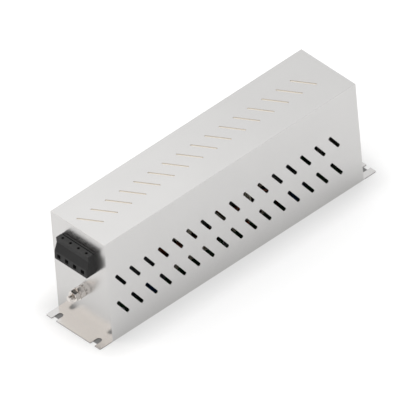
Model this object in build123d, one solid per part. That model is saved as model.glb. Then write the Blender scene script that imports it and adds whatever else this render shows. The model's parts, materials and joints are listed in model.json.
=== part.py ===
from build123d import *
import os
from math import cos, degrees, floor, radians, sin, sqrt

# A four-line mains filter in a ventilated sheet steel housing, in millimetres.
# The origin is at the middle of the underside. +X runs along the housing from the line
# terminals to the load terminals, +Y across it and +Z up.

os.makedirs("parts", exist_ok=True)

# Housing: one folded sheet with a top, two sides, two ends and two fixing flanges
case_length = 300.0
case_width = 70.0
case_height = 110.0
case_sheet = 0.8
fold_radius = 0.1
top_fold_outer_radius = 0.4
flange_length = 15.0
flange_corner_radius = 1.0

# Fixing slots, open at the edge of the flange, for M5 screws
fixing_slot_width = 5.8
fixing_slot_spacing = 50.0
fixing_slot_inset = 7.5

# Ventilation slots
vent_first = 15.2
vent_pitch = 17.0
vent_last_margin = 29.0
side_vent_low_length = 21.6
side_vent_high_length = 19.3
side_vent_width = 3.45
side_vent_angle = 56.0
side_vent_low_row = 31.1
side_vent_row_spacing = 30.6
top_vent_length = 25.0
top_vent_width = 1.95
top_vent_angle = 58.0

# Insulating liner, folded under the top and down the inside of both sides
liner_sheet = 0.5
liner_drop = 37.0
liner_fold_radius = 1.0
liner_end_gap = 2.0

# Base plate with two fixing rails above it
base_sheet = 1.5
base_clearance = 0.3
rail_sheet = 1.2
rail_foot = 8.0
rail_height = 12.0
rail_end_gap = 12.0

# Countersunk screws that hold the base plate to the rails
base_screw_count = 4
base_screw_radius = 1.5
base_screw_head_radius = 2.7
base_screw_head_height = 1.2
base_screw_length = 5.0
base_screw_end_gap = 18.0

# Circuit board on hexagonal spacers
board_sheet = 1.6
board_side_gap = 4.0
board_end_gap = 5.0
spacer_height = 8.0
spacer_flats = 5.5
spacer_inset_x = 20.0
spacer_inset_y = 10.0
spacer_spigot_radius = 2.2
spigot_recess = 0.1
board_screw_radius = 1.5
board_screw_length = 6.0
board_screw_head_radius = 2.75
board_screw_head_height = 2.0
recess_width = 0.7
recess_reach = 1.5
recess_depth = 0.8
screw_clearance = 0.05
hole_clearance = 0.1
solder_tail = 1.5

# Common-mode chokes: ring cores that stand on the board, each with four windings
core_diameter = 54.0
core_bore = 32.0
core_height = 26.0
core_edge_radius = 1.5
wire_diameter = 2.8
wire_bend_radius = 2.2
wire_gap = 0.3
winding_count = 4
turns_per_winding = 5
choke_middle_gap = 12.0
choke_floor_gap = 0.5
spider_arm = 2.0
spider_hub_radius = 3.5
spider_overhang = 2.0
cradle_length = 40.0
cradle_width = 28.0
cradle_floor = 2.0
cradle_rib = 3.6
cradle_peg_radius = 1.5
cradle_peg_offset = 14.0

# Film capacitors
part_gap = 2.0
x_capacitor_count = 3
x_capacitor_thickness = 11.0
x_capacitor_length = 32.0
x_capacitor_height = 21.0
x_capacitor_gap = 1.5
x_capacitor_pin_pitch = 27.5
y_capacitor_thickness = 5.0
y_capacitor_length = 13.0
y_capacitor_height = 11.0
y_capacitor_pin_pitch = 10.0
capacitor_edge_radius = 0.6
pin_radius = 0.4

# Discharge resistors
resistor_count = 3
resistor_radius = 1.8
resistor_length = 9.0
resistor_gap = 1.0
resistor_lead_pitch = 12.7

# Terminal blocks: moulded, four poles, one on each end wall
pole_count = 4
pole_pitch = 10.16
block_side_wall = 0.25
block_top_drop = 16.7
block_height = 22.3
block_top_reach = 8.1
block_step_drop = 5.8
block_step_reach = 7.8
block_slant_drop = 13.4
block_chin_reach = 11.0
block_front_reach = 11.4
block_edge_radius = 0.4
block_lip = 0.8
groove_width = 1.0
groove_depth = 1.6
boss_margin = 1.6
boss_depth = 6.0
panel_clearance = 0.2
ear_reach = 0.9
ear_thickness = 2.0
ear_height = 8.0
ear_clearance = 0.1
screw_reach = 4.9
screw_hole_radius = 1.4
clamp_screw_radius = 1.3
clamp_screw_recess = 3.6
clamp_slot_width = 0.6
clamp_slot_depth = 1.0
cage_width = 7.0
cage_depth = 4.4
cage_floor = 1.0
cage_hole_width = 5.0
cage_hole_height = 7.4
cage_top = 2.2
cage_clearance = 0.2
chin_wall = 1.0
entry_width = 4.3
entry_height = 4.3
entry_rise = 0.2

# Copper bars from the clamps down to the board
bar_sheet = 1.2
bar_width = 4.8
bar_clearance = 0.1
bar_setback = 14.0
bar_bend_radius = 1.2
bar_tail_width = 2.4

# Earth bolt with its washers, nuts and strap, one on each end wall
earth_height = 39.0
earth_radius = 3.0
earth_reach = 17.0
earth_tip_chamfer = 0.6
earth_hole_clearance = 0.25
hex_flats = 10.0
hex_edge_share = 0.95
bolt_head_height = 4.0
nut_height = 5.0
nut_bore_clearance = 0.05
nut_countersink = 0.5
washer_radius = 6.0
washer_sheet = 1.6
toothed_washer_radius = 5.5
toothed_washer_sheet = 0.7
tooth_count = 12
tooth_gap_width = 1.1
tooth_gap_depth = 1.2
outer_nut_turn = 21.4
lock_nut_turn = 3.0
strap_sheet = 0.8
strap_width = 9.0
strap_eye_radius = 6.5
strap_foot = 10.0
strap_bend_radius = 0.8

# Worked-out places
case_end = case_length / 2
case_side = case_width / 2
inner_end = case_end - case_sheet
inner_side = case_side - case_sheet
inner_top = case_height - case_sheet
fold_outer_radius = fold_radius + case_sheet
foot_height = 2 * fold_outer_radius
flange_end = case_end + flange_length

base_end = inner_end - base_clearance
base_side = inner_side - base_clearance
rail_end = inner_end - rail_end_gap
screw_row_y = inner_side - rail_foot / 2
screw_row_end = rail_end - base_screw_end_gap

board_bottom = base_sheet + spacer_height
board_top = board_bottom + board_sheet
board_end = inner_end - board_end_gap
board_side = inner_side - board_side_gap
tail_end = board_bottom - solder_tail
spacer_places = [
    (x, y)
    for x in (spacer_inset_x - board_end, 0, board_end - spacer_inset_x)
    for y in (spacer_inset_y - board_side, board_side - spacer_inset_y)
]

wire_radius = wire_diameter / 2
core_radius = core_diameter / 2
wire_outer_radius = core_radius + wire_gap + wire_radius
wire_inner_radius = core_bore / 2 - wire_gap - wire_radius
wire_depth = core_height / 2 + wire_gap + wire_radius
lead_depth = wire_depth + wire_diameter + wire_gap
turn_pitch = degrees((wire_diameter + wire_gap) / wire_inner_radius)
winding_sector = 360 / winding_count
winding_start = (winding_sector - turns_per_winding * turn_pitch) / 2
choke_reach = wire_outer_radius + wire_radius
choke_x = choke_reach + choke_middle_gap / 2
choke_z = board_top + cradle_floor + choke_floor_gap + choke_reach

x_capacitor_first = choke_x + choke_reach + part_gap + x_capacitor_thickness / 2
x_capacitor_pitch = x_capacitor_thickness + x_capacitor_gap
x_capacitor_places = [x_capacitor_first + i * x_capacitor_pitch for i in range(x_capacitor_count)]
x_capacitor_last_face = x_capacitor_places[-1] + x_capacitor_thickness / 2
y_capacitor_x = (x_capacitor_places[0] + x_capacitor_places[-1]) / 2
y_capacitor_y = x_capacitor_length / 2 + part_gap + y_capacitor_thickness / 2
resistor_first = x_capacitor_last_face + part_gap + resistor_radius
resistor_pitch = 2 * resistor_radius + resistor_gap
resistor_places = [resistor_first + i * resistor_pitch for i in range(resistor_count)]

block_width = pole_count * pole_pitch + 2 * block_side_wall
block_top = case_height - block_top_drop
block_bottom = block_top - block_height
pole_places = [(i - (pole_count - 1) / 2) * pole_pitch for i in range(pole_count)]
boss_side = block_width / 2 - boss_margin
boss_bottom = block_bottom + boss_margin
boss_top = block_top - boss_margin - groove_depth
boss_middle = (boss_top + boss_bottom) / 2
boss_end = inner_end - boss_depth
screw_x = case_end + screw_reach
cage_bottom = block_bottom + chin_wall + cage_clearance
cage_height = cage_floor + cage_hole_height + cage_top
cage_hole_bottom = cage_bottom + cage_floor
cage_hole_top = cage_hole_bottom + cage_hole_height
entry_z = cage_hole_bottom + entry_rise + entry_height / 2
bar_top = cage_hole_top - cage_clearance
bar_x = case_end - bar_setback
bar_tip = screw_x + cage_depth / 2

strap_face = inner_end - strap_sheet
lock_nut_x = case_end + toothed_washer_sheet
washer_x = lock_nut_x + nut_height
outer_nut_x = washer_x + washer_sheet

FROM_BELOW = (Align.CENTER, Align.CENTER, Align.MIN)
FROM_ABOVE = (Align.CENTER, Align.CENTER, Align.MAX)
OUTWARD = Plane(origin=(0, 0, 0), x_dir=(0, 1, 0), z_dir=(1, 0, 0))


def slab(x_low, x_high, width, z_low, z_high):
    """A block centred across the housing."""
    block = Box(x_high - x_low, width, z_high - z_low, align=(Align.MIN, Align.CENTER, Align.MIN))
    return Pos(x_low, 0, z_low) * block


def corner(sketch, point):
    """The vertex of a sketch that is nearest to a point."""
    return sketch.vertices().sort_by_distance(point)[0]


def angle_section(foot, upright, thickness, inner_radius):
    """An L section with its bend, the outer corner at the origin."""
    points = [
        (0, 0),
        (foot, 0),
        (foot, thickness),
        (thickness, thickness),
        (thickness, upright),
        (0, upright),
    ]
    section = make_face(Polyline(points, close=True))
    section = fillet(corner(section, (0, 0)), inner_radius + thickness)
    return fillet(corner(section, (thickness, thickness)), inner_radius)


def at_line_end(piece):
    """The same piece at the other end of the housing."""
    return Rot(0, 0, 180) * piece


def pole_row(piece):
    """One copy of a piece for each pole, as separate solids."""
    return Compound(children=[Pos(0, y, 0) * piece for y in pole_places])


# Housing and what closes it


def folded_shell():
    """The top, sides and ends, open below."""
    outer = Box(case_length, case_width, case_height, align=FROM_BELOW)
    outer = fillet(outer.edges().group_by(Axis.Z)[-1], top_fold_outer_radius)
    inner = Box(2 * inner_end, 2 * inner_side, inner_top, align=FROM_BELOW)
    inner = fillet(inner.edges().group_by(Axis.Z)[-1], fold_radius)
    return outer - inner


def end_flange():
    """The foot of an end wall, its fold and the flange that leads out from it."""
    points = [
        (inner_end, foot_height),
        (inner_end, 0),
        (flange_end, 0),
        (flange_end, case_sheet),
        (case_end, case_sheet),
        (case_end, foot_height),
    ]
    section = make_face(Polyline(points, close=True))
    section = fillet(corner(section, (inner_end, 0)), fold_outer_radius)
    section = fillet(corner(section, (case_end, case_sheet)), fold_radius)
    flange = extrude(Plane.XZ * section, case_side, both=True)
    tips = flange.edges().filter_by(Axis.Z).group_by(Axis.X)[-1]
    return fillet(tips, flange_corner_radius)


def fixing_slots():
    """Cutters for the two open slots of the flange at the load end."""
    centre_x = flange_end - fixing_slot_inset
    slot = Circle(fixing_slot_width / 2)
    slot += Pos(fixing_slot_inset, 0) * Rectangle(2 * fixing_slot_inset, fixing_slot_width)
    cutter = extrude(slot, 2 * case_sheet, both=True)
    return [Pos(centre_x, side * fixing_slot_spacing / 2, 0) * cutter for side in (-1, 1)]


def vent_places():
    """Distances of the ventilation slots from the middle of the housing."""
    span = case_length - vent_first - vent_last_margin
    return [vent_first + i * vent_pitch - case_end for i in range(floor(span / vent_pitch) + 1)]


def side_vent_cutter(length):
    """A cutter for one slanted slot through both sides."""
    slot = Rot(0, 0, -side_vent_angle) * SlotOverall(length, side_vent_width)
    return extrude(Plane.XZ * slot, case_width, both=True)


def vent_cutters():
    """Cutters for both rows in the sides and for the row in the top."""
    low_cutter = side_vent_cutter(side_vent_low_length)
    high_cutter = side_vent_cutter(side_vent_high_length)
    top_slot = Rot(0, 0, -top_vent_angle) * SlotOverall(top_vent_length, top_vent_width)
    top_cutter = extrude(top_slot, 2 * case_sheet, both=True)
    cutters = []
    for x in vent_places():
        cutters.append(Pos(x, 0, side_vent_low_row) * low_cutter)
        cutters.append(Pos(x, 0, side_vent_low_row + side_vent_row_spacing) * high_cutter)
        cutters.append(Pos(x, 0, case_height) * top_cutter)
    return cutters


def end_wall_cutters():
    """Cutters for the terminal block's opening and the earth bolt's hole at the load end."""
    opening_width = 2 * (boss_side + panel_clearance)
    opening_low = boss_bottom - panel_clearance
    opening_high = boss_top + panel_clearance
    opening = slab(inner_end - case_sheet, case_end + case_sheet, opening_width, opening_low, opening_high)
    hole = extrude(OUTWARD * Circle(earth_radius + earth_hole_clearance), case_sheet, both=True)
    return [opening, Pos(case_end - case_sheet / 2, 0, earth_height) * hole]


def housing():
    """The whole folded sheet with its slots and openings."""
    sheet = folded_shell()
    foot = slab(inner_end, case_end, case_width, 0, foot_height)
    load_end_cutters = fixing_slots() + end_wall_cutters()
    sheet = sheet - [foot, at_line_end(foot)]
    sheet = sheet + [end_flange(), at_line_end(end_flange())]
    sheet = sheet - (load_end_cutters + [at_line_end(cutter) for cutter in load_end_cutters])
    return sheet - vent_cutters()


def insulation_liner():
    """One folded sheet that lies under the top and hangs down inside both sides."""
    length = 2 * (inner_end - liner_end_gap)
    outer = Box(length, 2 * inner_side, liner_drop, align=FROM_ABOVE)
    outer = fillet(outer.edges().filter_by(Axis.X).group_by(Axis.Z)[-1], liner_fold_radius)
    inner_width = 2 * (inner_side - liner_sheet)
    inner = Pos(0, 0, -liner_sheet) * Box(length, inner_width, liner_drop, align=FROM_ABOVE)
    inner = fillet(inner.edges().filter_by(Axis.X).group_by(Axis.Z)[-1], liner_fold_radius - liner_sheet)
    return Pos(0, 0, inner_top) * (outer - inner)


def base_screw_places():
    """Places of the countersunk screws along both rails."""
    step = 2 * screw_row_end / (base_screw_count - 1)
    rows = (-screw_row_y, screw_row_y)
    return [(i * step - screw_row_end, y) for i in range(base_screw_count) for y in rows]


def base_plate():
    """The flat plate that closes the housing from below."""
    plate = Box(2 * base_end, 2 * base_side, base_sheet, align=FROM_BELOW)
    screw_hole = Cylinder(base_screw_radius + hole_clearance, base_sheet, align=FROM_BELOW)
    screw_hole += Cone(
        base_screw_head_radius + screw_clearance,
        base_screw_radius + screw_clearance,
        base_screw_head_height,
        align=FROM_BELOW,
    )
    spigot_hole = Cylinder(spacer_spigot_radius + screw_clearance, base_sheet, align=FROM_BELOW)
    cutters = [Pos(x, y, 0) * screw_hole for x, y in base_screw_places()]
    cutters += [Pos(x, y, 0) * spigot_hole for x, y in spacer_places]
    return plate - cutters


def fixing_rails():
    """Two angle strips along the foot of the sides, which the base plate is screwed to."""
    section = angle_section(rail_foot, rail_height, rail_sheet, fold_radius)
    rail = extrude(Plane.YZ * section, rail_end, both=True)
    rail = Pos(0, -inner_side, base_sheet) * rail
    hole = Cylinder(base_screw_radius + screw_clearance, 2 * rail_height, align=FROM_BELOW)
    holes = [Pos(x, y, 0) * hole for x, y in base_screw_places() if y < 0]
    rail = rail - holes
    return Compound(children=[rail, at_line_end(rail)])


def cross_recess():
    """Cutter for a cross recess, its mouth at the origin and its foot above."""
    bar = Box(2 * recess_reach, recess_width, recess_depth, align=FROM_BELOW)
    return bar + Rot(0, 0, 90) * bar


def base_screws():
    """Countersunk screws, heads level with the underside."""
    head = Cone(base_screw_head_radius, base_screw_radius, base_screw_head_height, align=FROM_BELOW)
    screw = head + Cylinder(base_screw_radius, base_screw_length, align=FROM_BELOW) - cross_recess()
    return Compound(children=[Pos(x, y, 0) * screw for x, y in base_screw_places()])


# Circuit board and its fixings


def spacers():
    """Hexagonal spacers riveted into the base plate by a spigot."""
    body = extrude(RegularPolygon(spacer_flats / sqrt(3), 6), spacer_height)
    spigot = Cylinder(spacer_spigot_radius, base_sheet - spigot_recess, align=FROM_ABOVE)
    bore = Cylinder(board_screw_radius + screw_clearance, board_screw_length, align=FROM_ABOVE)
    spacer = Pos(0, 0, base_sheet) * (body + spigot) - Pos(0, 0, board_bottom) * bore
    return Compound(children=[Pos(x, y, 0) * spacer for x, y in spacer_places])


def board_screws():
    """Pan head screws that hold the board on its spacers."""
    head = Cylinder(board_screw_head_radius, board_screw_head_height, align=FROM_BELOW)
    head = fillet(head.edges().group_by(Axis.Z)[-1], board_screw_head_height / 3)
    recess = Pos(0, 0, board_screw_head_height - recess_depth) * cross_recess()
    shank = Cylinder(board_screw_radius, board_screw_length, align=FROM_ABOVE)
    screw = Pos(0, 0, board_top) * (head + shank - recess)
    return Compound(children=[Pos(x, y, 0) * screw for x, y in spacer_places])


# Common-mode chokes


def around_core(radius, angle, depth):
    """A point beside a core that stands at the origin with its axis along Y."""
    return Vector(radius * cos(radians(angle)), depth, radius * sin(radians(angle)))


def choke_core():
    """A ring core in its smooth insulating case."""
    ring = Cylinder(core_radius, core_height) - Cylinder(core_bore / 2, core_height)
    ring = fillet(ring.edges().filter_by(GeomType.CIRCLE), core_edge_radius)
    return Rot(90, 0, 0) * ring


def winding_path(start_angle):
    """The corners of one winding: up from the board, round the core turn by turn, down again."""
    lead_foot = tail_end - choke_z
    first = around_core(wire_outer_radius, start_angle, lead_depth)
    points = [Vector(first.X, first.Y, lead_foot), first]
    angle = start_angle
    for _ in range(turns_per_winding):
        inner_angle = angle + turn_pitch / 2
        points.append(around_core(wire_outer_radius, angle, -wire_depth))
        points.append(around_core(wire_inner_radius, inner_angle, -wire_depth))
        points.append(around_core(wire_inner_radius, inner_angle, wire_depth))
        angle += turn_pitch
        points.append(around_core(wire_outer_radius, angle, wire_depth))
    last = around_core(wire_outer_radius, angle, -lead_depth)
    return points + [last, Vector(last.X, last.Y, lead_foot)]


def choke_winding(index):
    """One winding of enamelled wire with both of its leads."""
    points = winding_path(index * winding_sector + winding_start)
    path = FilletPolyline(*points, radius=wire_bend_radius)
    section = Plane(origin=points[0], z_dir=points[1] - points[0]) * Circle(wire_radius)
    return sweep(section, path=path)


def choke_spider():
    """The cross that keeps the four windings apart in the bore of the core."""
    depth = core_height + 2 * spider_overhang
    reach = core_bore - 2 * wire_gap
    arm = Box(reach, depth, spider_arm)
    return arm + Box(spider_arm, depth, reach) + Rot(90, 0, 0) * Cylinder(spider_hub_radius, depth)


def choke_cradle():
    """The moulded foot of a choke: a floor on the board, a rib up to the core and two pegs."""
    floor_block = Pos(0, 0, board_top) * Box(cradle_length, cradle_width, cradle_floor, align=FROM_BELOW)
    rib_height = choke_z - board_top
    rib = Pos(0, 0, board_top) * Box(cradle_rib, core_height, rib_height, align=FROM_BELOW)
    seat = Pos(0, 0, choke_z) * Rot(90, 0, 0) * Cylinder(core_radius + hole_clearance, case_width)
    peg = Cylinder(cradle_peg_radius, board_sheet, align=FROM_ABOVE)
    pegs = [Pos(x, 0, board_top) * peg for x in (-cradle_peg_offset, cradle_peg_offset)]
    return floor_block + (rib - seat) + pegs


def choke_lead_places():
    """Where the leads of one choke pass through the board, from the choke's middle."""
    places = []
    for index in range(winding_count):
        points = winding_path(index * winding_sector + winding_start)
        places += [(points[0].X, points[0].Y), (points[-1].X, points[-1].Y)]
    return places


# Capacitors, resistors and the board


def boxed_capacitor(length_x, length_y, height, pins):
    """A film capacitor in a moulded box, with its two pins below."""
    case = Box(length_x, length_y, height, align=FROM_BELOW)
    case = fillet(case.edges().filter_by(Axis.Z), capacitor_edge_radius)
    case = fillet(case.edges().group_by(Axis.Z)[-1], capacitor_edge_radius)
    pin = Cylinder(pin_radius, board_sheet + solder_tail, align=FROM_ABOVE)
    return Pos(0, 0, board_top) * (case + [Pos(x, y, 0) * pin for x, y in pins])


def x_capacitor(x):
    """A capacitor between two lines, lying across the board."""
    pins = [(0, -x_capacitor_pin_pitch / 2), (0, x_capacitor_pin_pitch / 2)]
    capacitor = boxed_capacitor(x_capacitor_thickness, x_capacitor_length, x_capacitor_height, pins)
    return Pos(x, 0, 0) * capacitor


def y_capacitor(x, y):
    """A capacitor from a line to earth, lying along the board's edge."""
    pins = [(-y_capacitor_pin_pitch / 2, 0), (y_capacitor_pin_pitch / 2, 0)]
    capacitor = boxed_capacitor(y_capacitor_length, y_capacitor_thickness, y_capacitor_height, pins)
    return Pos(x, y, 0) * capacitor


def discharge_resistors():
    """Resistors that lie on the board beside the load terminals."""
    half_pitch = resistor_lead_pitch / 2
    lead_low = tail_end - board_top - resistor_radius
    lead_path = FilletPolyline(
        (0, -half_pitch, lead_low),
        (0, -half_pitch, 0),
        (0, half_pitch, 0),
        (0, half_pitch, lead_low),
        radius=2 * pin_radius,
    )
    section = Plane.XY.offset(lead_low) * Pos(0, -half_pitch) * Circle(pin_radius)
    lead = sweep(section, path=lead_path)
    body = Rot(90, 0, 0) * Cylinder(resistor_radius, resistor_length)
    body = fillet(body.edges().filter_by(GeomType.CIRCLE), resistor_radius / 3)
    resistor = Pos(0, 0, board_top + resistor_radius) * (body + lead)
    return Compound(children=[Pos(x, 0, 0) * resistor for x in resistor_places])


def circuit_board():
    """The board with a hole for every screw, pin, lead, peg and bar."""
    board = Pos(0, 0, board_bottom) * Box(2 * board_end, 2 * board_side, board_sheet, align=FROM_BELOW)
    screw_hole = Cylinder(board_screw_radius + hole_clearance, board_top, align=FROM_BELOW)
    pin_hole = Cylinder(pin_radius + hole_clearance, board_top, align=FROM_BELOW)
    lead_hole = Cylinder(wire_radius + hole_clearance, board_top, align=FROM_BELOW)
    peg_hole = Cylinder(cradle_peg_radius + hole_clearance, board_top, align=FROM_BELOW)
    tail_slot = Box(
        bar_sheet + 2 * bar_clearance, bar_tail_width + 2 * bar_clearance, board_top, align=FROM_BELOW
    )
    cutters = [Pos(x, y, 0) * screw_hole for x, y in spacer_places]
    for end in (-1, 1):
        cutters += [Pos(end * (choke_x + x), end * y, 0) * lead_hole for x, y in choke_lead_places()]
        for peg_x in (choke_x - cradle_peg_offset, choke_x + cradle_peg_offset):
            cutters.append(Pos(end * peg_x, 0, 0) * peg_hole)
        cutters += [Pos(end * bar_x, y, 0) * tail_slot for y in pole_places]
        for side in (-1, 1):
            half_pitch = side * x_capacitor_pin_pitch / 2
            cutters += [Pos(end * x, half_pitch, 0) * pin_hole for x in x_capacitor_places]
            for pin_x in (-y_capacitor_pin_pitch / 2, y_capacitor_pin_pitch / 2):
                cutters.append(Pos(end * y_capacitor_x + pin_x, side * y_capacitor_y, 0) * pin_hole)
    for side in (-1, 1):
        cutters += [Pos(x, side * resistor_lead_pitch / 2, 0) * pin_hole for x in resistor_places]
    return board - cutters


# Terminal block, built at the load end


def block_outline():
    """The moulding's side view: distance from the end wall, height."""
    points = [
        (0, block_bottom),
        (block_front_reach, block_bottom),
        (block_chin_reach, block_top - block_slant_drop),
        (block_step_reach, block_top - block_step_drop),
        (block_top_reach, block_top),
        (block_lip + groove_width, block_top),
        (block_lip + groove_width, block_top - groove_depth),
        (block_lip, block_top - groove_depth),
        (block_lip, block_top),
        (0, block_top),
    ]
    outline = make_face(Polyline(points, close=True))
    for point in points[1:5]:
        outline = fillet(corner(outline, point), block_edge_radius)
    return outline


def snap_ear():
    """A catch on the side of the boss that grips the end wall from behind."""
    outline = make_face(Polyline((0, 0), (0, ear_reach), (-ear_thickness, 0), close=True))
    ear = extrude(outline, ear_height / 2, both=True)
    return Pos(inner_end - ear_clearance, boss_side, boss_middle) * ear


def pole_cutter():
    """What one pole takes out of the moulding: screw hole, cage pocket, wire entry and bar slot."""
    pocket = Box(
        cage_depth + 2 * cage_clearance,
        cage_width + 2 * cage_clearance,
        cage_height + 2 * cage_clearance,
        align=FROM_BELOW,
    )
    pocket = Pos(screw_x, 0, cage_bottom - cage_clearance) * pocket
    screw_hole = Pos(screw_x, 0, cage_bottom) * Cylinder(screw_hole_radius, block_top, align=FROM_BELOW)
    entry = Pos(screw_x, 0, entry_z) * Box(
        block_front_reach, entry_width, entry_height, align=(Align.MIN, Align.CENTER, Align.CENTER)
    )
    bar_slot_depth = screw_x - boss_end + boss_depth
    bar_slot = Box(
        bar_slot_depth,
        bar_width + 2 * bar_clearance,
        bar_sheet + 2 * bar_clearance,
        align=(Align.MAX, Align.CENTER, Align.MAX),
    )
    bar_slot = Pos(screw_x, 0, bar_top + bar_clearance) * bar_slot
    return pocket + screw_hole + entry + bar_slot


def terminal_block():
    """The moulding with its lip on the end wall and its boss through the wall."""
    body = extrude(Plane.XZ * block_outline(), block_width / 2, both=True)
    body = Pos(case_end, 0, 0) * body
    boss = slab(boss_end, case_end, 2 * boss_side, boss_bottom, boss_top)
    ear = snap_ear()
    block = body + boss + [ear, mirror(ear, about=Plane.XZ)]
    return block - [Pos(0, y, 0) * pole_cutter() for y in pole_places]


def clamp_cages():
    """Steel cages that the screws pull up against the bars."""
    cage = Box(cage_depth, cage_width, cage_height, align=FROM_BELOW)
    hole = Pos(0, 0, cage_floor) * Box(cage_depth, cage_hole_width, cage_hole_height, align=FROM_BELOW)
    thread = Cylinder(clamp_screw_radius + screw_clearance, cage_height, align=FROM_BELOW)
    cage = cage - hole - Pos(0, 0, cage_floor) * thread
    return pole_row(Pos(screw_x, 0, cage_bottom) * cage)


def clamp_screws():
    """Slotted screws that press down on the bars."""
    screw_top = block_top - clamp_screw_recess
    screw = Cylinder(clamp_screw_radius, screw_top - bar_top, align=FROM_BELOW)
    slot = Pos(0, 0, screw_top - bar_top) * Box(
        2 * clamp_screw_radius, clamp_slot_width, 2 * clamp_slot_depth
    )
    return pole_row(Pos(screw_x, 0, bar_top) * (screw - slot))


def terminal_bar(y):
    """A copper bar from the clamp through the end wall and down to the board."""
    drop = bar_top - board_top
    section = angle_section(bar_tip - bar_x + bar_sheet / 2, drop, bar_sheet, bar_bend_radius)
    bar = extrude(Plane.XZ * section, bar_width / 2, both=True)
    bar = Pos(bar_x - bar_sheet / 2, 0, bar_top) * mirror(bar, about=Plane.XY)
    tail = Pos(bar_x, 0, board_top) * Box(
        bar_sheet, bar_tail_width, board_top - tail_end, align=FROM_ABOVE
    )
    return Pos(0, y, 0) * (bar + tail)


# Earth bolt, built at the load end


def hexagon(thickness, turn):
    """A hexagonal prism along +X with chamfered corners, one corner turned from the top."""
    corner_radius = hex_flats / sqrt(3)
    face_radius = hex_flats / 2 * hex_edge_share
    bevel = (corner_radius - face_radius) / sqrt(3)
    prism = extrude(RegularPolygon(corner_radius, 6), thickness)
    outline = Polyline(
        (0, 0, 0),
        (face_radius, 0, 0),
        (corner_radius, 0, bevel),
        (corner_radius, 0, thickness - bevel),
        (face_radius, 0, thickness),
        (0, 0, thickness),
        close=True,
    )
    rounded = revolve(make_face(outline), Axis.Z)
    return Rot(turn, 0, 0) * Rot(0, 90, 0) * (prism & rounded)


def along_bolt(x, piece):
    """A piece that was made along +X from the origin, put on the bolt's axis."""
    return Pos(x, 0, earth_height) * piece


def rod(radius, length):
    """A round bar along +X from the origin."""
    return extrude(OUTWARD * Circle(radius), length)


def earth_bolt():
    """A bolt with its head inside the end wall and its thread outside."""
    head = along_bolt(strap_face - bolt_head_height, hexagon(bolt_head_height, 0))
    shank = rod(earth_radius, case_end + earth_reach - strap_face)
    shank = chamfer(shank.edges().group_by(Axis.X)[-1], earth_tip_chamfer)
    return head + along_bolt(strap_face, shank)


def toothed_washer():
    """A washer with teeth round its rim, against the end wall."""
    ring = rod(toothed_washer_radius, toothed_washer_sheet)
    ring -= rod(earth_radius + hole_clearance, toothed_washer_sheet)
    gap = Pos(0, 0, toothed_washer_radius) * Box(
        2 * toothed_washer_sheet, tooth_gap_width, 2 * tooth_gap_depth
    )
    gaps = [Rot(i * 360 / tooth_count, 0, 0) * gap for i in range(tooth_count)]
    return along_bolt(case_end, ring - gaps)


def flat_washer():
    """The plain washer that a cable lug is clamped under."""
    ring = rod(washer_radius, washer_sheet)
    ring -= rod(earth_radius + hole_clearance, washer_sheet)
    return along_bolt(washer_x, ring)


def nut(x, turn):
    """A hexagon nut on the bolt, with its bore countersunk at both faces."""
    blank = hexagon(nut_height, turn) - rod(earth_radius + nut_bore_clearance, nut_height)
    bore_rims = blank.edges().filter_by(GeomType.CIRCLE).group_by(SortBy.RADIUS)[0]
    return along_bolt(x, chamfer(bore_rims, nut_countersink))


def earth_strap():
    """A copper strap from the bolt's head down the end wall to the board."""
    rise = earth_height - board_top
    section = angle_section(strap_foot, rise, strap_sheet, strap_bend_radius)
    strip = extrude(Plane.XZ * section, strap_width / 2, both=True)
    strip = Pos(inner_end, 0, board_top) * mirror(strip, about=Plane.YZ)
    eye = along_bolt(strap_face, rod(strap_eye_radius, strap_sheet))
    hole = along_bolt(strap_face - strap_sheet, rod(earth_radius + earth_hole_clearance, 3 * strap_sheet))
    return strip + eye - hole


def end_pieces():
    """Every piece of one end, by the name that follows line or load."""
    pieces = {
        "terminal_block": terminal_block(),
        "clamp_cages": clamp_cages(),
        "clamp_screws": clamp_screws(),
        "earth_bolt": earth_bolt(),
        "earth_toothed_washer": toothed_washer(),
        "earth_lock_nut": nut(lock_nut_x, lock_nut_turn),
        "earth_washer": flat_washer(),
        "earth_outer_nut": nut(outer_nut_x, outer_nut_turn),
        "earth_strap": earth_strap(),
    }
    for number, y in enumerate(pole_places, start=1):
        pieces[f"bar_{number}"] = terminal_bar(y)
    for number, x in enumerate(x_capacitor_places, start=1):
        pieces[f"x_capacitor_{number}"] = x_capacitor(x)
    return pieces


def choke_pieces():
    """Every piece of one choke, standing at the load side of the middle."""
    place = Pos(choke_x, 0, choke_z)
    pieces = {
        "core": place * choke_core(),
        "spider": place * choke_spider(),
        "cradle": Pos(choke_x, 0, 0) * choke_cradle(),
    }
    for index in range(winding_count):
        pieces[f"winding_{index + 1}"] = place * choke_winding(index)
    return pieces


def all_pieces():
    """Every node of the filter by its name."""
    pieces = {
        "housing": housing(),
        "insulation_liner": insulation_liner(),
        "base_plate": base_plate(),
        "fixing_rails": fixing_rails(),
        "base_screws": base_screws(),
        "spacers": spacers(),
        "circuit_board": circuit_board(),
        "board_screws": board_screws(),
        "discharge_resistors": discharge_resistors(),
    }
    number = 0
    for end in (-1, 1):
        for side in (-1, 1):
            number += 1
            pieces[f"y_capacitor_{number}"] = y_capacitor(end * y_capacitor_x, side * y_capacitor_y)
    for name, piece in end_pieces().items():
        pieces["line_" + name] = at_line_end(piece)
        pieces["load_" + name] = piece
    for name, piece in choke_pieces().items():
        pieces["line_choke_" + name] = at_line_end(piece)
        pieces["load_choke_" + name] = piece
    return pieces


for node, piece in all_pieces().items():
    export_step(piece, f"parts/{node}.step")
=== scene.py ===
# %% [markdown]
# A mains interference filter in a folded steel housing.
#
# The solids of the filter come from the frame, one object for each piece, in metres, and they
# stay where they are. This notebook gives each of them the finish of the real piece and models
# the two earth bolts again, whose threads the solids leave plain. Then it sets up the floor,
# the light and the camera.

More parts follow.
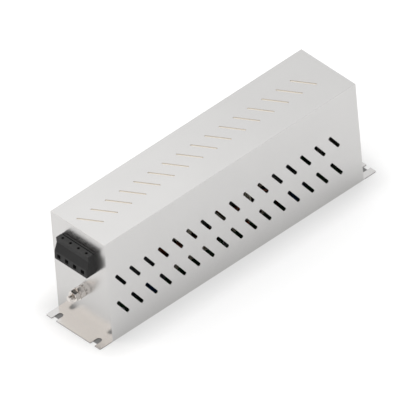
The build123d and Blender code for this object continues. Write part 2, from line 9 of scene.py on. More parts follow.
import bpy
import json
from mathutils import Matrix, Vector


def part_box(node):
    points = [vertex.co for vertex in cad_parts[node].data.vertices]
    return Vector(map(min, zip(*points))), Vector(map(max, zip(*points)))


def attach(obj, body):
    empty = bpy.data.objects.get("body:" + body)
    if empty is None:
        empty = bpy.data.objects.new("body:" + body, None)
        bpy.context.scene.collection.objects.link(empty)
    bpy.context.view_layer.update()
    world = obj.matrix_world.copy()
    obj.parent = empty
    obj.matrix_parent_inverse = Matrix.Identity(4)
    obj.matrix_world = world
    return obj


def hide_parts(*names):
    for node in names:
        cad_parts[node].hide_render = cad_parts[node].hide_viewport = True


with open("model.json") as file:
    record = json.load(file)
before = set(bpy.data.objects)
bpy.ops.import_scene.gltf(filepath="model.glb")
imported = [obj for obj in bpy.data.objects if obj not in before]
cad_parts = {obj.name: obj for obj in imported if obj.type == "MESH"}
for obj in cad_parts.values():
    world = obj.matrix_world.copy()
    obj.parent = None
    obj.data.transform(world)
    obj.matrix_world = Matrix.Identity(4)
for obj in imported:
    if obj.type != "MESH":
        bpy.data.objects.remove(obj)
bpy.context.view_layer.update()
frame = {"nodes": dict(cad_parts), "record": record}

# %% [markdown]
# Units.
#
# Blender works in metres, and a part like this is drawn in millimetres, so lengths and depths
# are written as millimetres times MM. Only the sizes of patterns are plain millimetres, because
# the patterns are laid out in them. The record that comes with the solids names the interfaces,
# such as the earth studs, and says where each one is.

# %% Modules and units
import json
from math import cos, pi, radians, sin

import bmesh
import bpy
from mathutils import Matrix, Vector

MM = 0.001
solids = frame["nodes"]
mounts = {mount["name"]: mount for mount in frame["record"]["mounts"]}
print("Interfaces:", sorted(mounts))

# %% [markdown]
# How a finish is built.
#
# Every material below is a Principled shader with a few texture nodes in front of it. One small
# function adds a node with its settings and links, so that a material reads from top to bottom
# like a recipe. Another turns a colour as a designer writes it, in sRGB hex, to the linear
# values that the shader computes with.
#
# Three nodes return in most recipes. A noise lies mostly between the greys 0.3 and 0.7, so a
# Map Range node stretches that part to the range that a finish needs. A Mix node has its factor
# at input 0. It blends two colours from inputs 6 and 7 to output 2, or two numbers from inputs
# 2 and 3 to output 0. A Bump node lets a pattern stand out by a real depth.

# %% Helpers for materials
MOST_OF_NOISE = {"From Min": 0.3, "From Max": 0.7}


def linear(colour):
    """An sRGB hex colour as linear red, green, blue and alpha."""
    channels = [int(colour[i:i + 2], 16) / 255 for i in (1, 3, 5)]
    values = [c / 12.92 if c <= 0.04045 else ((c + 0.055) / 1.055) ** 2.4 for c in channels]
    return (*values, 1.0)


def add_node(tree, kind, inputs=None, **settings):
    """Adds a node. Its inputs are values, hex colours, or sockets of other nodes to link."""
    node = tree.nodes.new("ShaderNode" + kind)
    for name, value in settings.items():
        setattr(node, name, value)
    for name, value in (inputs or {}).items():
        if isinstance(value, bpy.types.NodeSocket):
            tree.links.new(value, node.inputs[name])
        elif isinstance(value, str):
            node.inputs[name].default_value = linear(value)
        else:
            node.inputs[name].default_value = value
    return node


def new_material(name):
    """A material without nodes, and its tree to build on."""
    material = bpy.data.materials.new(name)
    material.use_nodes = True
    material.node_tree.nodes.clear()
    return material, material.node_tree


def shaded(material, inputs):
    """Ends a material with the shader that its patterns lead to."""
    tree = material.node_tree
    shader = add_node(tree, "BsdfPrincipled", inputs)
    add_node(tree, "OutputMaterial", {"Surface": shader.outputs["BSDF"]})
    return material


def in_millimetres(tree, scale=(1, 1, 1)):
    """Object coordinates in millimetres, stretched for a pattern."""
    place = add_node(tree, "TexCoord").outputs["Object"]
    inputs = {"Vector": place, "Scale": [s / MM for s in scale]}
    return add_node(tree, "Mapping", inputs).outputs["Vector"]


print("Material helpers ready; mid grey is", [round(c, 3) for c in linear("#808080")])

# %% [markdown]
# The housing: bright zinc-plated steel sheet.
#
# The sheet is cold rolled and then plated, which leaves a satin metal. It mirrors what stands
# near it, such as the terminal block, as a soft blur that widens with distance. The roughness
# gives that blur. The rolls print very fine streaks along the sheet, and the plating adds faint
# clouds a few centimetres wide. On the housing both shift the colour by only a hundredth or
# two, and the streaks shift the roughness a little. The real streaks are about a tenth of a
# millimetre wide. They are drawn at a quarter of a millimetre, which shows close up and blends
# from afar. On the end walls they run upwards, as they do on a folded sheet, so the pattern is
# chosen by the face's normal. The sheared edges of the flanges are coloured a darker grey,
# which draws a thin line. The base plate and the rails are made of a duller sheet by the same
# recipe.

# %% Plated steel sheet
STREAK_WIDTH = 0.25
STREAK_LENGTH = 30.0
CLOUD_SIZE = 35.0
# The clouds and half of the streaks add up to a grey between these two.
STREAK_SHARE = 0.5
DARKEST_AT = 0.45
PALEST_AT = 1.05
# An end wall's normal has more than this along X, and a cut edge's has less than this along Z.
FACES_END = 0.7
FACES_UP = 0.5
# The darker grey that the sheared edges of the flanges are coloured.
FLANGE_EDGE_GREY = "#9A9896"
BEND_REACH = 2.5 * MM
FLANGE_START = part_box("base_plate")[1].x + BEND_REACH


def size_along(tree, vector, axis):
    """How far a vector reaches along an axis, either way."""
    parts = add_node(tree, "SeparateXYZ", {"Vector": vector}).outputs
    return add_node(tree, "Math", {0: parts[axis]}, operation="ABSOLUTE").outputs[0]


def facing_along_x(tree):
    """1 on faces that look along the housing, 0 on the others."""
    normal = add_node(tree, "NewGeometry").outputs["Normal"]
    inputs = {0: size_along(tree, normal, "X"), 1: FACES_END}
    return add_node(tree, "Math", inputs, operation="GREATER_THAN").outputs[0]


def flange_cut_edges(tree):
    """1 on the sheared edges of the two flanges, 0 elsewhere."""
    place = add_node(tree, "TexCoord").outputs["Object"]
    normal = add_node(tree, "NewGeometry").outputs["Normal"]
    inputs = {0: size_along(tree, place, "X"), 1: FLANGE_START}
    on_flange = add_node(tree, "Math", inputs, operation="GREATER_THAN").outputs[0]
    inputs = {0: size_along(tree, normal, "Z"), 1: FACES_UP}
    upright = add_node(tree, "Math", inputs, operation="LESS_THAN").outputs[0]
    return add_node(tree, "Math", {0: on_flange, 1: upright}, operation="MULTIPLY").outputs[0]


def rolled_streaks(tree):
    """Fine streaks along the housing, and upwards on its end walls."""
    across = 1 / STREAK_WIDTH
    along = 1 / STREAK_LENGTH
    inputs = {"Vector": in_millimetres(tree, (along, across, across)), "Scale": 1.0, "Detail": 3.0}
    lengthways = add_node(tree, "TexNoise", inputs).outputs["Fac"]
    inputs = {"Vector": in_millimetres(tree, (across, across, along)), "Scale": 1.0, "Detail": 3.0}
    upwards = add_node(tree, "TexNoise", inputs).outputs["Fac"]
    return add_node(tree, "Mix", {0: facing_along_x(tree), 2: lengthways, 3: upwards}).outputs[0]


def plated_sheet(name, pale, dark, smooth, rough):
    """Zinc-plated steel sheet with rolling streaks and faint clouds in the plating."""
    material, tree = new_material(name)
    inputs = {"Vector": in_millimetres(tree), "Scale": 1 / CLOUD_SIZE, "Detail": 4.0}
    clouds = add_node(tree, "TexNoise", inputs).outputs["Fac"]
    streaks = rolled_streaks(tree)
    inputs = {0: streaks, 1: STREAK_SHARE, 2: clouds}
    both = add_node(tree, "Math", inputs, operation="MULTIPLY_ADD").outputs[0]
    inputs = {"Value": both, "From Min": DARKEST_AT, "From Max": PALEST_AT}
    paleness = add_node(tree, "MapRange", inputs).outputs["Result"]
    plating = add_node(tree, "Mix", {0: paleness, 6: dark, 7: pale}, data_type="RGBA").outputs[2]
    inputs = {0: flange_cut_edges(tree), 6: plating, 7: FLANGE_EDGE_GREY}
    colour = add_node(tree, "Mix", inputs, data_type="RGBA").outputs[2]
    inputs = {"Value": streaks, **MOST_OF_NOISE, "To Min": smooth, "To Max": rough}
    roughness = add_node(tree, "MapRange", inputs).outputs["Result"]
    return shaded(material, {"Base Color": colour, "Metallic": 1.0, "Roughness": roughness})


bright_sheet = plated_sheet("bright_plated_steel_sheet", "#D1D0CF", "#CECDCC", 0.24, 0.27)
inner_sheet = plated_sheet("zinc_plated_steel_sheet", "#C8CBCC", "#BDC0C2", 0.32, 0.42)
print("Sheet finishes:", bright_sheet.name, inner_sheet.name)

# %% [markdown]
# Turned and pressed small metal parts.
#
# The earth bolt, its nuts and washers are nickel plated: a bright metal with a slightly warm
# tint and a much sharper reflection than the sheet's. Screws are zinc plated and a little
# bluish and duller, and the spacers are brass under nickel. The clamps in the terminal blocks
# are phosphated, so their holes look black. The bars and straps are copper with a coat of tin,
# pale grey and soft. All share one recipe: a metal with handling marks, a noise of about half a
# millimetre that changes the colour and the roughness. On the soft tin the marks are wider.

# %% Small metal parts
MARK_SIZE = 0.6
TIN_MARK_SIZE = 1.5
MARK_DEPTH = 0.004 * MM


def plated_part(name, pale, dark, smooth, rough, mark_size=MARK_SIZE):
    """A plated metal part with small marks in its shine."""
    material, tree = new_material(name)
    inputs = {"Vector": in_millimetres(tree), "Scale": 1 / mark_size, "Detail": 4.0,
              "Roughness": 0.6}
    marks = add_node(tree, "TexNoise", inputs).outputs["Fac"]
    colour = add_node(tree, "Mix", {0: marks, 6: dark, 7: pale}, data_type="RGBA").outputs[2]
    inputs = {"Value": marks, **MOST_OF_NOISE, "To Min": smooth, "To Max": rough}
    roughness = add_node(tree, "MapRange", inputs).outputs["Result"]
    bump = add_node(tree, "Bump", {"Height": marks, "Distance": MARK_DEPTH}).outputs["Normal"]
    inputs = {"Base Color": colour, "Metallic": 1.0, "Roughness": roughness, "Normal": bump}
    return shaded(material, inputs)


nickel_plate = plated_part("nickel_plated_steel", "#E2DDD8", "#D2CDC9", 0.10, 0.18)
zinc_plate = plated_part("zinc_plated_screw_steel", "#CDD0D3", "#B5B9BE", 0.22, 0.35)
black_steel = plated_part("phosphated_clamp_steel", "#4B4B4C", "#3C3C3D", 0.34, 0.48)
tinned_copper = plated_part("tin_coated_copper", "#D9D5CF", "#C4BFB8", 0.28, 0.42, TIN_MARK_SIZE)
nickel_brass = plated_part("nickel_plated_brass", "#DCD6CB", "#C9C2B5", 0.18, 0.28)
small_metals = (nickel_plate, zinc_plate, black_steel, tinned_copper, nickel_brass)
print("Metal finishes:", [metal.name for metal in small_metals])

# %% [markdown]
# The terminal block: glass-filled polyamide, moulded in an eroded tool.
#
# Such black plastic looks neither glossy nor dead matt. The tool's spark-eroded face leaves a
# grain of about a tenth of a millimetre, which spreads the highlight, and the plastic itself
# still reflects a few per cent. The grain is drawn at a quarter of a millimetre, so that it
# shows close up. Polyamide's index is 1.53, but the grain hides part of the shine in its own
# hollows, so the block takes a lower one. The block's top looks clearly paler than its front,
# more so than the light alone makes it, so light is painted on it: a thin layer at its top has a
# paler colour. The other plastic parts are made by the same recipe, each with its own colours.

# %% Moulded plastics
GRAIN_SIZE = 0.25
GRAIN_DEPTH = 0.02 * MM
FLOW_SIZE = 9.0
# How deep the painted light reaches down from the top of the terminal block.
PAINTED_TOP_DEPTH = 0.3 * MM


def above(tree, height):
    """1 on what lies above a height, 0 below it."""
    place = add_node(tree, "TexCoord").outputs["Object"]
    parts = add_node(tree, "SeparateXYZ", {"Vector": place}).outputs
    return add_node(tree, "Math", {0: parts["Z"], 1: height}, operation="GREATER_THAN").outputs[0]


def moulded_plastic(name, pale, dark, smooth, rough, index=1.53, painted_top=None):
    """Moulded plastic with tool grain and flow clouds. A painted lit top, if any, is height and
    colour.
    """
    material, tree = new_material(name)
    place = in_millimetres(tree)
    inputs = {"Vector": place, "Scale": 1 / FLOW_SIZE, "Detail": 3.0}
    flow = add_node(tree, "TexNoise", inputs).outputs["Fac"]
    inputs = {"Vector": place, "Scale": 1 / GRAIN_SIZE, "Detail": 2.0}
    grain = add_node(tree, "TexNoise", inputs).outputs["Fac"]
    colour = add_node(tree, "Mix", {0: flow, 6: dark, 7: pale}, data_type="RGBA").outputs[2]
    # Painted light: above the given height the colour turns paler, as if more light fell on the
    # top.
    if painted_top:
        height, painted_top_colour = painted_top
        inputs = {0: above(tree, height), 6: colour, 7: painted_top_colour}
        colour = add_node(tree, "Mix", inputs, data_type="RGBA").outputs[2]
    inputs = {"Value": grain, **MOST_OF_NOISE, "To Min": smooth, "To Max": rough}
    roughness = add_node(tree, "MapRange", inputs).outputs["Result"]
    bump = add_node(tree, "Bump", {"Height": grain, "Distance": GRAIN_DEPTH}).outputs["Normal"]
    inputs = {"Base Color": colour, "Roughness": roughness, "IOR": index, "Normal": bump}
    return shaded(material, inputs)


# The block's top is painted paler: painted light from above, not a colour of the plastic.
painted_block_top = (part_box("line_terminal_block")[1].z - PAINTED_TOP_DEPTH, "#3B3B3B")
black_polyamide = moulded_plastic(
    "moulded_black_polyamide", "#282828", "#222222", 0.46, 0.60, index=1.32, painted_top=painted_block_top
)
natural_polyamide = moulded_plastic(
    "moulded_natural_polyamide", "#D8D3C2", "#CFC9B6", 0.38, 0.50
)
core_case = moulded_plastic("moulded_core_case", "#2B3230", "#232927", 0.35, 0.45)
film_capacitor_case = moulded_plastic(
    "moulded_polypropylene_case", "#4C5358", "#444A4F", 0.34, 0.44
)
earth_capacitor_case = moulded_plastic(
    "moulded_blue_capacitor_case", "#24446F", "#1F3B62", 0.34, 0.44
)
plastics = (black_polyamide, natural_polyamide, core_case, film_capacitor_case,
            earth_capacitor_case)
print("Plastic finishes:", [plastic.name for plastic in plastics])

# %% [markdown]
# The liner: cream electrical insulating sheet.
#
# It is pressed from fibres, so it is matt, with a faint felt of short fibres and no highlight
# to speak of. Only a thin strip of it shows through each slot in the top, where its cream tint
# tells it from the steel. A noise that is stretched along the housing draws the fibres.

# %% Pressed insulating sheet
FIBRE_LENGTH = 2.5
FIBRE_WIDTH = 0.4
FIBRE_DEPTH = 0.02 * MM


def pressed_fibre_sheet():
    """Cream insulating sheet with a faint felt of fibres."""
    material, tree = new_material("cream_insulating_sheet")
    stretch = (1 / FIBRE_LENGTH, 1 / FIBRE_WIDTH, 1 / FIBRE_WIDTH)
    inputs = {"Vector": in_millimetres(tree, stretch), "Scale": 1.0, "Detail": 5.0,
              "Roughness": 0.65}
    fibres = add_node(tree, "TexNoise", inputs).outputs["Fac"]
    inputs = {0: fibres, 6: "#E4DACB", 7: "#EFE7DA"}
    colour = add_node(tree, "Mix", inputs, data_type="RGBA").outputs[2]
    bump = add_node(tree, "Bump", {"Height": fibres, "Distance": FIBRE_DEPTH}).outputs["Normal"]
    inputs = {"Base Color": colour, "Roughness": 0.62, "IOR": 1.47, "Normal": bump}
    return shaded(material, inputs)


cream_liner = pressed_fibre_sheet()
print("Liner finish:", cream_liner.name)

# %% [markdown]
# The circuit board: woven glass in epoxy resin under green solder resist.
#
# The cloth of the laminate shows through the resist as a fine square weave of half a
# millimetre. Broad copper tracks lie under the resist and make it lighter where they run
# lengthways beside each other, one for each line, so a wave pattern across the board draws
# their bands. At a scale of 1 the wave has a band every pi / 10, which gives the scale for the
# real pitch.

# %% Board laminate
WEAVE_PITCH = 0.5
WEAVE_SHARE = 0.25
TRACK_PITCH = 10.16
TRACK_EDGE = {"From Min": 0.42, "From Max": 0.48}
TRACK_DEPTH = 0.05 * MM


def board_laminate():
    """Green solder resist over woven glass, with copper tracks below."""
    material, tree = new_material("solder_resist_on_laminate")
    inputs = {"Vector": in_millimetres(tree), "Scale": 1 / WEAVE_PITCH}
    cloth = add_node(tree, "TexChecker", inputs).outputs["Fac"]
    inputs = {"Vector": in_millimetres(tree), "Scale": pi / 10 / TRACK_PITCH}
    bands = add_node(tree, "TexWave", inputs, bands_direction="Y").outputs["Fac"]
    tracks = add_node(tree, "MapRange", {"Value": bands, **TRACK_EDGE}).outputs["Result"]
    inputs = {0: tracks, 6: "#12301D", 7: "#1B4328"}
    green = add_node(tree, "Mix", inputs, data_type="RGBA").outputs[2]
    inputs = {0: cloth, 6: green, 7: "#0F2817"}
    woven = add_node(tree, "Mix", inputs, data_type="RGBA").outputs[2]
    inputs = {0: WEAVE_SHARE, 6: green, 7: woven}
    colour = add_node(tree, "Mix", inputs, data_type="RGBA").outputs[2]
    inputs = {"Value": tracks, "To Min": 0.34, "To Max": 0.26}
    roughness = add_node(tree, "MapRange", inputs).outputs["Result"]
    bump = add_node(tree, "Bump", {"Height": tracks, "Distance": TRACK_DEPTH}).outputs["Normal"]
    inputs = {"Base Color": colour, "Roughness": roughness, "IOR": 1.5, "Normal": bump}
    return shaded(material, inputs)


green_board = board_laminate()
print("Board finish:", green_board.name)

# %% [markdown]
# The windings: enamelled copper wire.
#
# Copper under a clear varnish looks deep orange brown with a sharp gloss on top. The metal is
# the base layer of the shader and the varnish is its coat. Where the wire was pulled round the
# core, the tint varies over a few millimetres.

# %% Enamelled copper
TINT_SIZE = 6.0


def enamelled_copper():
    """Copper wire under clear varnish."""
    material, tree = new_material("enamelled_copper_wire")
    inputs = {"Vector": in_millimetres(tree), "Scale": 1 / TINT_SIZE, "Detail": 3.0}
    tint = add_node(tree, "TexNoise", inputs).outputs["Fac"]
    inputs = {0: tint, 6: "#6A2C14", 7: "#8C4524"}
    colour = add_node(tree, "Mix", inputs, data_type="RGBA").outputs[2]
    metal = {"Base Color": colour, "Metallic": 1.0, "Roughness": 0.30}
    varnish = {"Coat Weight": 1.0, "Coat Roughness": 0.06}
    return shaded(material, {**metal, **varnish})


copper_wire = enamelled_copper()
print("Wire finish:", copper_wire.name)

# %% [markdown]
# The resistors: lacquered bodies with colour rings.
#
# The rings go round the body, so they follow the coordinate along its axis. A colour ramp with
# hard steps, read along that axis, paints ring after ring over the beige lacquer.

# %% Lacquered resistors
BODY_LENGTH = 9.0 * MM
LACQUER = "#B9A577"
RINGS = (
    (0.0, LACQUER), (0.24, "#5A3418"), (0.32, LACQUER), (0.42, "#1F1F1F"), (0.50, LACQUER),
    (0.60, "#8F3B14"), (0.68, LACQUER), (0.80, "#A8842C"), (0.88, LACQUER),
)
SPECK_SIZE = 0.5
SPECK_DEPTH = 0.01 * MM


def lacquered_resistor():
    """A beige lacquer with rings of other colours round the body."""
    material, tree = new_material("lacquered_film_resistor")
    place = add_node(tree, "TexCoord").outputs["Object"]
    parts = add_node(tree, "SeparateXYZ", {"Vector": place}).outputs
    inputs = {"Value": parts["Y"], "From Min": -BODY_LENGTH / 2, "From Max": BODY_LENGTH / 2}
    along = add_node(tree, "MapRange", inputs).outputs["Result"]
    ramp = add_node(tree, "ValToRGB", {"Fac": along})
    ramp.color_ramp.interpolation = "CONSTANT"
    while len(ramp.color_ramp.elements) < len(RINGS):
        ramp.color_ramp.elements.new(0.5)
    for element, (position, colour) in zip(ramp.color_ramp.elements, RINGS):
        element.position = position
        element.color = linear(colour)
    inputs = {"Vector": in_millimetres(tree), "Scale": 1 / SPECK_SIZE}
    speck = add_node(tree, "TexNoise", inputs).outputs["Fac"]
    bump = add_node(tree, "Bump", {"Height": speck, "Distance": SPECK_DEPTH}).outputs["Normal"]
    inputs = {"Base Color": ramp.outputs["Color"], "Roughness": 0.28, "Coat Weight": 0.4,
              "Normal": bump}
    return shaded(material, inputs)


resistor_lacquer = lacquered_resistor()
print("Resistor finish:", resistor_lacquer.name, "with", len(RINGS) // 2, "rings")

# %% [markdown]
# Giving the solids their finishes.
#
# Each solid names its material slot in the record, so one table from slot to finish dresses
# them all. A solid's mesh is left as it is: only the material in its slot changes.

# %% Dress the solids
FINISHES = {
    "housing_sheet": bright_sheet,
    "base_sheet": inner_sheet,
    "plated_screw": zinc_plate,
    "spacer_brass": nickel_brass,
    "liner_film": cream_liner,
    "board_laminate": green_board,
    "resistor_body": resistor_lacquer,
    "block_moulding": black_polyamide,
    "clamp_steel": black_steel,
    "earth_plated": nickel_plate,
    "tinned_copper": tinned_copper,
    "capacitor_case": film_capacitor_case,
    "small_capacitor_case": earth_capacitor_case,
    "core_coating": core_case,
    "choke_moulding": natural_polyamide,
    "winding_enamel": copper_wire,
}
slot_of = {part["node"]: part["material_slot"] for part in frame["record"]["subparts"]}


def dress(piece, material):
    """Puts one material on a whole object."""
    piece.data.materials.clear()
    piece.data.materials.append(material)


for node_name, solid in solids.items():
    dress(solid, FINISHES[slot_of[node_name]])
print("Dressed", len(solids), "solids in", len(set(slot_of.values())), "finishes")

# %% [markdown]
# Making a piece.
#
# A shape that is made here becomes an object at the origin, with its place in its mesh. It
# rides on the filter's one body, takes the finish that it is given, and hides the solid that it
# stands for.

# %% Helpers for pieces
SHARP_TURN = radians(25)


def new_piece(name, shape, material, replaced):
    """Turns a bmesh into a piece that rides on the filter and stands for the named solids."""
    bmesh.ops.recalc_face_normals(shape, faces=shape.faces)
    mesh = bpy.data.meshes.new(name)
    shape.to_mesh(mesh)
    shape.free()
    piece = bpy.data.objects.new(name, mesh)
    bpy.context.scene.collection.objects.link(piece)
    dress(piece, material)
    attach(piece, "root")
    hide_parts(*replaced)
    print(f"{name}: {len(mesh.polygons)} faces")
    return piece


def smooth_faces(shape):
    """Shades round faces smoothly and keeps an edge sharp where it turns by SHARP_TURN."""
    for face in shape.faces:
        face.smooth = True
    for edge in shape.edges:
        if len(edge.link_faces) == 2:
            edge.smooth = edge.calc_face_angle() < SHARP_TURN


print("Edges stay sharp from a turn of", round(SHARP_TURN * 180 / pi), "degrees")

# %% [markdown]
# The earth bolts: a rolled M6 thread.
#
# A thread is one profile carried round a helix. Here the profile is a single pitch, root to
# crest to root, and the spin operator turns it while it moves one pitch along for each turn.
# Neighbouring turns then meet edge to edge and are merged to one closed skin. The helix starts
# before the bolt and ends past it, and two planes cut the skin to length.

# %% Thread
THREAD_RADIUS = 3.0 * MM
THREAD_PITCH = 1.0 * MM
THREAD_DEPTH = 0.61 * MM
THREAD_STEPS = 48
CREST_FLAT = THREAD_PITCH / 8
ROOT_FLAT = THREAD_PITCH / 4
FLANK = (THREAD_PITCH - CREST_FLAT - ROOT_FLAT) / 2
SPARE_TURNS = 3
MERGE_DISTANCE = 0.002 * MM
CUT_TOLERANCE = 0.0001 * MM


def threaded_skin(shape, start, stop):
    """The closed skin of a thread along +X, from start to stop, round the X axis."""
    turns = int((stop - start) / THREAD_PITCH) + SPARE_TURNS
    first = start - SPARE_TURNS / 2 * THREAD_PITCH
    profile = (
        (0.0, -THREAD_DEPTH),
        (ROOT_FLAT, -THREAD_DEPTH),
        (ROOT_FLAT + FLANK, 0.0),
        (ROOT_FLAT + FLANK + CREST_FLAT, 0.0),
        (THREAD_PITCH, -THREAD_DEPTH),
    )
    corners = [shape.verts.new((first + x, 0, THREAD_RADIUS + r)) for x, r in profile]
    edges = [shape.edges.new(pair) for pair in zip(corners, corners[1:])]
    bmesh.ops.spin(
        shape,
        geom=corners + edges,
        axis=(1, 0, 0),
        cent=(0, 0, 0),
        dvec=(THREAD_PITCH / THREAD_STEPS, 0, 0),
        angle=2 * pi * turns,
        steps=THREAD_STEPS * turns,
    )
    bmesh.ops.remove_doubles(shape, verts=shape.verts, dist=MERGE_DISTANCE)
    for place, side in ((start, -1), (stop, 1)):
        cut = bmesh.ops.bisect_plane(
            shape,
            geom=shape.verts[:] + shape.edges[:] + shape.faces[:],
            dist=CUT_TOLERANCE,
            plane_co=(place, 0, 0),
            plane_no=(side, 0, 0),
            clear_outer=True,
        )
        rim = [item for item in cut["geom_cut"] if isinstance(item, bmesh.types.BMEdge)]
        bmesh.ops.edgeloop_fill(shape, edges=rim)


print("Thread: pitch", THREAD_PITCH / MM, "mm, depth", THREAD_DEPTH / MM, "mm")

# %% [markdown]
# The rest of the bolt.
#
# The tip is chamfered by drawing in the vertices that stand outside a cone, so the thread fades
# out as on a rolled bolt. The head is a hexagon with a bevel round its outer face. It reaches a
# little over the start of the thread, on the inner side of the end wall. Each bolt is made
# along +X on the axis, and the one for the line end is then turned round.

# %% Earth bolts
TIP_CHAMFER = 0.6 * MM
HEAD_HEIGHT = 4.0 * MM
HEAD_FLATS = 10.0 * MM
HEAD_BEVEL = 0.35 * MM
HEAD_OVERLAP = 0.2 * MM
EARTH_AXIS_Z = mounts["load_earth_stud"]["pos_m"][2]


def draw_in_tip(shape, stop):
    """Chamfers the end of a bolt by drawing in the vertices that stand outside a cone."""
    for vert in shape.verts:
        reach = Vector((0, vert.co.y, vert.co.z))
        allowed = THREAD_RADIUS - TIP_CHAMFER + max(0.0, stop - vert.co.x)
        if reach.length > allowed:
            reach *= allowed / reach.length
            vert.co.y = reach.y
            vert.co.z = reach.z


def hexagonal_head(shape, start):
    """A hexagonal prism along +X with a bevel round its outer face."""
    corner_radius = HEAD_FLATS / 2 / cos(pi / 6)
    ring = bmesh.ops.create_circle(shape, cap_ends=True, segments=6, radius=corner_radius)["verts"]
    upright = Matrix.Rotation(pi / 2, 3, "Y")
    bmesh.ops.rotate(shape, cent=(0, 0, 0), matrix=upright, verts=ring)
    grown = bmesh.ops.extrude_face_region(shape, geom=[ring[0].link_faces[0]])
    moved = [item for item in grown["geom"] if isinstance(item, bmesh.types.BMVert)]
    bmesh.ops.translate(shape, vec=(HEAD_HEIGHT, 0, 0), verts=moved)
    bmesh.ops.translate(shape, vec=(start, 0, 0), verts=moved + ring)
    rim = [edge for edge in shape.edges if all(vert in ring for vert in edge.verts)]
    bmesh.ops.bevel(
        shape,
        geom=rim,
        offset=HEAD_BEVEL,
        affect="EDGES",
        segments=3,
        profile=0.5,
        material=-1,
    )


def earth_bolt(end):
    """The bolt of one end: head inside the housing, thread outside."""
    low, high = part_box(f"{end}_earth_bolt")
    tip = max(abs(low.x), abs(high.x))
    head = min(abs(low.x), abs(high.x))
    shape = bmesh.new()
    threaded_skin(shape, head + HEAD_HEIGHT - HEAD_OVERLAP, tip)
    draw_in_tip(shape, tip)
    hexagonal_head(shape, head)
    smooth_faces(shape)
    if high.x < 0:
        half_turn = Matrix.Rotation(pi, 3, "Z")
        bmesh.ops.rotate(shape, cent=(0, 0, 0), matrix=half_turn, verts=shape.verts)
    bmesh.ops.translate(shape, vec=(0, 0, EARTH_AXIS_Z), verts=shape.verts)
    name = f"{end}_earth_bolt_threaded"
    return new_piece(name, shape, nickel_plate, (f"{end}_earth_bolt",))


for end in ("line", "load"):
    earth_bolt(end)

# %% [markdown]
# The floor.
#
# The filter stands on a plain white floor that runs out of sight. The floor is an ordinary matt
# white, so it keeps the soft shadow of the housing. To the camera it also gives off a little
# light of its own, which lifts the lit part to plain white, and reflections see most of that
# glow. The photograph has a narrow dark halo round the foot of the housing, so a painted shade
# darkens the floor's colour and glow by about a fifth there. Under the flanges almost no light
# gets in, so the floor there is painted a mid grey shade, which shows through their slots.

# %% Floor
FLOOR_HALF = 3.0
FLOOR_COLOUR = "#EDEDED"
FLOOR_GLOW = 0.20
MIRRORED_SHARE = 0.70
PAINTED_SHADE_SHARE = 0.78
PAINTED_SHADE_WIDTH = 30.0 * MM
# Painted shade: the mid grey of the floor under the flanges, which shows through their slots.
UNDER_FLANGE_PAINTED_SHADE = "#7F7F7F"
UNDER_FLANGE_SHADE_INSET = 4.0 * MM
UNDER_FLANGE_SHADE_BLEND = 1.0 * MM


def distance_outside(tree, half_length, half_width):
    """How far a point of the floor lies outside a rectangle round the origin; 0 inside it."""
    place = add_node(tree, "TexCoord").outputs["Object"]
    away = add_node(tree, "VectorMath", {0: place}, operation="ABSOLUTE").outputs[0]
    inputs = {0: away, 1: (half_length, half_width, 0)}
    away = add_node(tree, "VectorMath", inputs, operation="SUBTRACT").outputs[0]
    away = add_node(tree, "VectorMath", {0: away, 1: (0, 0, 0)}, operation="MAXIMUM").outputs[0]
    return add_node(tree, "VectorMath", {0: away}, operation="LENGTH").outputs["Value"]


def floor_material():
    """Matt white with painted shade by the housing, that gives off a little light where the camera
    or a reflection sees it.
    """
    material, tree = new_material("matt_white_floor")
    wall_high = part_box("base_plate")[1]
    outside = distance_outside(tree, wall_high.x, wall_high.y)
    # Painted shade: the floor's colour and glow darken towards the foot of the housing.
    inputs = {"Value": outside, "From Max": PAINTED_SHADE_WIDTH, "To Min": PAINTED_SHADE_SHARE}
    painted_shade = add_node(tree, "MapRange", inputs).outputs["Result"]
    flange_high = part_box("housing")[1]
    # Painted shade: under the flanges, a few millimetres in from their edges, the floor is mid
    # grey.
    outside = distance_outside(tree, flange_high.x - UNDER_FLANGE_SHADE_INSET, flange_high.y - UNDER_FLANGE_SHADE_INSET)
    inputs = {"Value": outside, "From Max": UNDER_FLANGE_SHADE_BLEND}
    beyond_flange_shade = add_node(tree, "MapRange", inputs).outputs["Result"]
    inputs = {0: painted_shade, 6: "#000000", 7: FLOOR_COLOUR}
    white = add_node(tree, "Mix", inputs, data_type="RGBA").outputs[2]
    inputs = {0: beyond_flange_shade, 6: UNDER_FLANGE_PAINTED_SHADE, 7: white}
    colour = add_node(tree, "Mix", inputs, data_type="RGBA").outputs[2]
    path = add_node(tree, "LightPath").outputs
    inputs = {0: path["Is Glossy Ray"], 1: path["Is Transmission Ray"]}
    glow = add_node(tree, "Math", inputs, operation="MAXIMUM").outputs[0]
    glow = add_node(tree, "Math", {0: glow, 1: MIRRORED_SHARE}, operation="MULTIPLY").outputs[0]
    inputs = {0: path["Is Camera Ray"], 1: glow}
    glow = add_node(tree, "Math", inputs, operation="MAXIMUM").outputs[0]
    # Both painted shades dim the floor's glow as well as its colour.
    for share in (beyond_flange_shade, painted_shade, FLOOR_GLOW):
        glow = add_node(tree, "Math", {0: glow, 1: share}, operation="MULTIPLY").outputs[0]
    surface = {"Base Color": colour, "Roughness": 0.9}
    return shaded(material, {**surface, "Emission Color": "#FFFFFF", "Emission Strength": glow})


def floor():
    """A wide square at the height that the filter stands on."""
    shape = bmesh.new()
    bmesh.ops.create_grid(shape, x_segments=1, y_segments=1, size=FLOOR_HALF)
    mesh = bpy.data.meshes.new("floor")
    shape.to_mesh(mesh)
    shape.free()
    plane = bpy.data.objects.new("floor", mesh)
    bpy.context.scene.collection.objects.link(plane)
    dress(plane, floor_material())
    return plane


white_floor = floor()
print("Floor:", [round(side, 2) for side in white_floor.dimensions], "m")

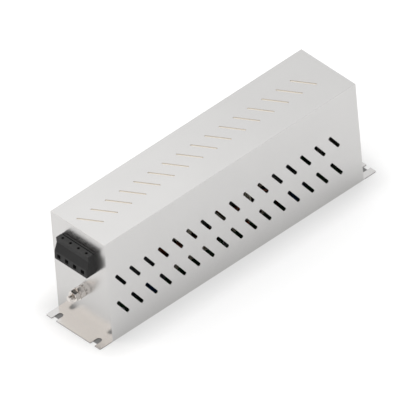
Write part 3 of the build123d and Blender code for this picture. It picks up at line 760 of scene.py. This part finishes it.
# %% [markdown]
# The light.
#
# A filter like this is photographed in a light tent: white on all sides, so that the metal
# mirrors plain white and the floor darkens only where the housing stands in the way. The world
# is the tent. It is darker in a strip round the horizon, where a tent has its opening, and
# black parts that mirror that strip look darker. A wide weak softbox hangs over the filter. The
# top mirrors its far edge, so it is a little brighter near the line end, and so are the folds
# along the top. A smaller warm softbox hangs out beyond the line end. The flange and the foot
# of the end wall mirror it by way of each other.

# %% World and lamps
HORIZON_STRENGTH = 0.25
TENT_FULL_FROM = 0.30
LAMPS = (
    ("overhead_softbox", (-0.047, -0.15, 0.80), (1.106, 1.90), 1.80, "#FFFFFF"),
    ("warm_softbox", (-0.80, 0.74, 0.80), (0.70, 0.70), 1.35, "#FFEEDC"),
)


def tent():
    """A world that is white to the camera, and darker round the horizon to everything else."""
    world = bpy.data.worlds.new("light_tent")
    world.use_nodes = True
    tree = world.node_tree
    tree.nodes.clear()
    steepness = size_along(tree, add_node(tree, "TexCoord").outputs["Generated"], "Z")
    inputs = {"Value": steepness, "From Max": TENT_FULL_FROM, "To Min": HORIZON_STRENGTH}
    strength = add_node(tree, "MapRange", inputs).outputs["Result"]
    inputs = {0: strength, 1: add_node(tree, "LightPath").outputs["Is Camera Ray"]}
    strength = add_node(tree, "Math", inputs, operation="MAXIMUM").outputs[0]
    background = add_node(tree, "Background", {"Color": "#FFFFFF", "Strength": strength})
    add_node(tree, "OutputWorld", {"Surface": background.outputs["Background"]})
    bpy.context.scene.world = world
    return world


def lamp(name, place, size, power, colour):
    """A rectangular lamp that hangs level and shines straight down."""
    data = bpy.data.lights.new(name, "AREA")
    data.shape = "RECTANGLE"
    data.size, data.size_y = size
    data.energy = power
    data.color = linear(colour)[:3]
    thing = bpy.data.objects.new(name, data)
    bpy.context.scene.collection.objects.link(thing)
    thing.location = place
    return thing


light_tent = tent()
lamps = [lamp(*settings) for settings in LAMPS]
print("World:", light_tent.name, "and lamps:", [thing.name for thing in lamps])

# %% [markdown]
# The camera.
#
# The photograph has no vanishing points: parallel edges stay parallel. So the camera is
# orthographic, and its scale says how many metres the picture is wide. It looks down on the
# line end and the side with an azimuth and an elevation, and it leans a little, which turns the
# picture. It aims at a point a little beside and above the origin, measured to the right and up
# in the picture.

# %% Camera
CAMERA_AZIMUTH = -39.54
CAMERA_ELEVATION = 39.85
CAMERA_ROLL = -4.96
CAMERA_DISTANCE = 2.0
PICTURE_WIDTH = 350.4 * MM
AIM_RIGHT = -9.81 * MM
AIM_UP = 38.02 * MM


def camera():
    """An orthographic camera that looks at the filter as the photograph does."""
    azimuth = radians(CAMERA_AZIMUTH)
    elevation = radians(CAMERA_ELEVATION)
    level = cos(elevation)
    back = Vector((sin(azimuth) * level, -cos(azimuth) * level, sin(elevation)))
    upright = (-back).to_track_quat("-Z", "Y").to_matrix()
    turned = upright @ Matrix.Rotation(radians(CAMERA_ROLL), 3, "Z")
    data = bpy.data.cameras.new("camera")
    data.type = "ORTHO"
    data.ortho_scale = PICTURE_WIDTH
    thing = bpy.data.objects.new("camera", data)
    bpy.context.scene.collection.objects.link(thing)
    aim = turned.col[0] * AIM_RIGHT + turned.col[1] * AIM_UP
    thing.matrix_world = Matrix.Translation(aim + back * CAMERA_DISTANCE) @ turned.to_4x4()
    bpy.context.scene.camera = thing
    return thing


viewpoint = camera()
bpy.context.scene.view_settings.view_transform = "Standard"
print("Camera at", tuple(round(c, 3) for c in viewpoint.matrix_world.translation))
